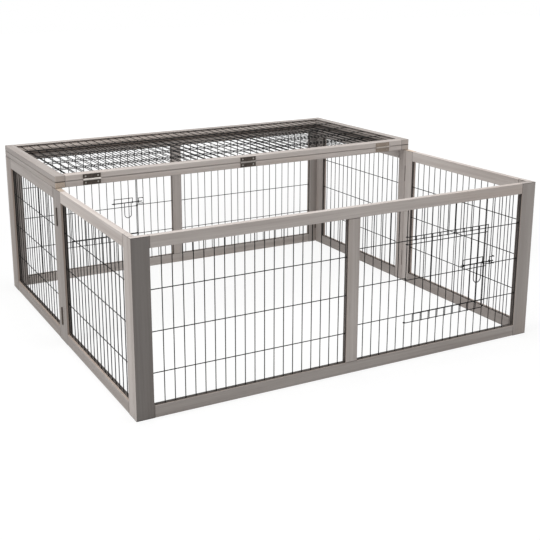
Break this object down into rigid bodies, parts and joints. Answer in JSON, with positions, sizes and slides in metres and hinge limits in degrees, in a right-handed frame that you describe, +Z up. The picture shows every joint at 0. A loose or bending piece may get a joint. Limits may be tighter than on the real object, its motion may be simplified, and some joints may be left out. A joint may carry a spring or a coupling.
{
  "type": "folding rabbit hutch",
  "caption": "Folding outdoor rabbit run: grey wooden frames with wire mesh, inward-folding side walls, a bolted wire door front and back, and a two-leaf folding cover.",
  "frame": {"origin": "on the floor under the middle of the open pen's footprint, bolts and hinge knuckles included", "axes": "+X to the right along the front panel, +Y from the front panel to the back panel, +Z up"},
  "size_m": [1.1682, 1.0996, 0.464],
  "materials": {
    "wood": "grey stained softwood, matt",
    "top_wood": "grey stained softwood, matt, lighter",
    "wire": "black coated welded wire, satin",
    "hinge": "dark bronzed steel",
    "screw": "bright zinc-plated steel"
  },
  "bodies": {
    "back_panel": {"back_left_stile": "wood", "back_right_stile": "wood", "back_mid_stile": "wood", "back_top_rail": "top_wood", "back_bottom_rail": "wood", "back_left_mesh": "wire", "back_right_mesh": "wire", "back_hinge_plates": "hinge", "back_screws": "screw"},
    "left_rear_leaf": {"left_rear_corner_stile": "wood", "left_rear_joint_stile": "wood", "left_rear_top_rail": "top_wood", "left_rear_bottom_rail": "wood", "left_rear_mesh": "wire", "left_rear_hinges": "hinge"},
    "left_front_leaf": {"left_front_corner_stile": "wood", "left_front_joint_stile": "wood", "left_front_top_rail": "top_wood", "left_front_bottom_rail": "wood", "left_front_mesh": "wire", "left_front_hinges": "hinge"},
    "front_panel": {"front_left_stile": "wood", "front_right_stile": "wood", "front_mid_stile": "wood", "front_top_rail": "top_wood", "front_bottom_rail": "wood", "front_left_mesh": "wire", "front_right_mesh": "wire", "front_hinge_plates": "hinge"},
    "right_rear_leaf": {"right_rear_corner_stile": "wood", "right_rear_joint_stile": "wood", "right_rear_top_rail": "top_wood", "right_rear_bottom_rail": "wood", "right_rear_mesh": "wire", "right_rear_hinges": "hinge"},
    "right_front_leaf": {"right_front_corner_stile": "wood", "right_front_joint_stile": "wood", "right_front_top_rail": "top_wood", "right_front_bottom_rail": "wood", "right_front_mesh": "wire", "right_front_hinges": "hinge"},
    "rear_cover": {"cover_rear_left_side": "top_wood", "cover_rear_right_side": "top_wood", "cover_rear_seam_member": "top_wood", "cover_rear_back_member": "top_wood", "cover_rear_mesh": "wire", "cover_rear_hinges": "hinge", "cover_rear_screws": "screw"},
    "front_cover": {"cover_front_left_side": "top_wood", "cover_front_right_side": "top_wood", "cover_front_seam_member": "top_wood", "cover_front_end_member": "top_wood", "cover_front_mesh": "wire", "cover_front_hinge_plates": "hinge", "cover_front_screws": "screw"},
    "front_door_leaf": {"front_door": "wire"},
    "front_bolt_rod": {"front_bolt": "wire"},
    "back_door_leaf": {"back_door": "wire"},
    "back_bolt_rod": {"back_bolt": "wire"}
  },
  "joints": [
    {"name": "left_rear_hinge", "type": "hinge", "parent": "back_panel", "child": "left_rear_leaf", "pos_m": [-0.56185, 0.52807, 0], "axis": [0, 0, 1], "range_deg": [0, 90]},
    {"name": "left_middle_hinge", "type": "hinge", "parent": "left_rear_leaf", "child": "left_front_leaf", "pos_m": [-0.58215, -0.00043, 0], "axis": [0, 0, 1], "range_deg": [-180, 0]},
    {"name": "left_front_hinge", "type": "hinge", "parent": "left_front_leaf", "child": "front_panel", "pos_m": [-0.56185, -0.52893, 0], "axis": [0, 0, 1], "range_deg": [0, 90]},
    {"name": "right_rear_hinge", "type": "hinge", "parent": "back_panel", "child": "right_rear_leaf", "pos_m": [0.56185, 0.52807, 0], "axis": [0, 0, 1], "range_deg": [-90, 0]},
    {"name": "right_middle_hinge", "type": "hinge", "parent": "right_rear_leaf", "child": "right_front_leaf", "pos_m": [0.58215, -0.00043, 0], "axis": [0, 0, 1], "range_deg": [0, 180]},
    {"name": "cover_back_hinge", "type": "hinge", "parent": "back_panel", "child": "rear_cover", "pos_m": [0, 0.54727, 0.4312], "axis": [-1, 0, 0], "range_deg": [0, 100]},
    {"name": "cover_seam_hinge", "type": "hinge", "parent": "rear_cover", "child": "front_cover", "pos_m": [0, 0.00307, 0.4477], "axis": [1, 0, 0], "range_deg": [0, 180]},
    {"name": "front_door_hinge", "type": "hinge", "parent": "front_panel", "child": "front_door_leaf", "pos_m": [0.165, -0.53834, 0], "axis": [0, 0, -1], "range_deg": [0, 150]},
    {"name": "back_door_hinge", "type": "hinge", "parent": "back_panel", "child": "back_door_leaf", "pos_m": [-0.4052, 0.53748, 0], "axis": [0, 0, 1], "range_deg": [0, 150]},
    {"name": "front_bolt_slide", "type": "slide", "parent": "front_door_leaf", "child": "front_bolt_rod", "axis": [-1, 0, 0], "range_m": [0, 0.028]},
    {"name": "back_bolt_slide", "type": "slide", "parent": "back_door_leaf", "child": "back_bolt_rod", "axis": [-1, 0, 0], "range_m": [0, 0.028]}
  ],
  "couplings": [
    {"joint": "left_middle_hinge", "follows": "left_rear_hinge", "ratio": -2},
    {"joint": "left_front_hinge", "follows": "left_rear_hinge", "ratio": 1},
    {"joint": "right_rear_hinge", "follows": "left_rear_hinge", "ratio": -1},
    {"joint": "right_middle_hinge", "follows": "left_rear_hinge", "ratio": 2}
  ]
}
